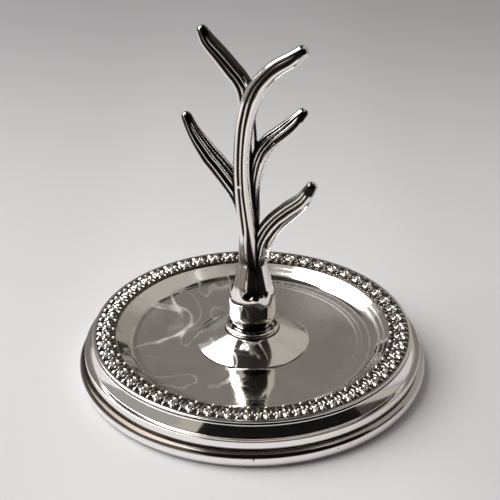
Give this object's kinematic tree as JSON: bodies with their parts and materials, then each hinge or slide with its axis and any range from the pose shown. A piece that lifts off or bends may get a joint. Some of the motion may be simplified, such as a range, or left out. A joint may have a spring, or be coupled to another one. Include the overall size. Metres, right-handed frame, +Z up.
{
  "type": "ring tree",
  "caption": "Round footed dish with a leaf and pip border and a small bare tree of reeded arms at its centre, for holding finger rings.",
  "frame": {"origin": "on the table, under the middle of the foot: the centre of the baize pad's underside", "axes": "+Z up along the tree; +X to the right and -Y towards the viewer when the front arm stands before the others"},
  "size_m": [0.09, 0.09, 0.0898],
  "materials": {
    "polished_silver": "hand polished, with fine wiping scratches and light tarnish",
    "oxidised_silver": "polished on the high places, dark oxide in the furrows and round the relief",
    "brass_fixing": "turned, dull",
    "pitch_loading": "poured, matt",
    "beech_board": "turned, unpolished",
    "green_baize": "felted wool cloth"
  },
  "bodies": {
    "root": {"foot_ring": "polished_silver", "skirt": "polished_silver", "rim_wire": "polished_silver", "dish": "polished_silver", "collar": "polished_silver", "root_knop": "polished_silver", "gallery_border": "oxidised_silver", "upper_right_arm": "oxidised_silver", "lower_right_arm": "oxidised_silver", "upper_left_arm": "oxidised_silver", "middle_right_arm": "oxidised_silver", "middle_left_arm": "oxidised_silver", "stem_stud": "brass_fixing", "stud_washer": "brass_fixing", "stud_nut": "brass_fixing", "base_filling": "pitch_loading", "base_board": "beech_board", "baize_pad": "green_baize"}
  },
  "joints": []
}
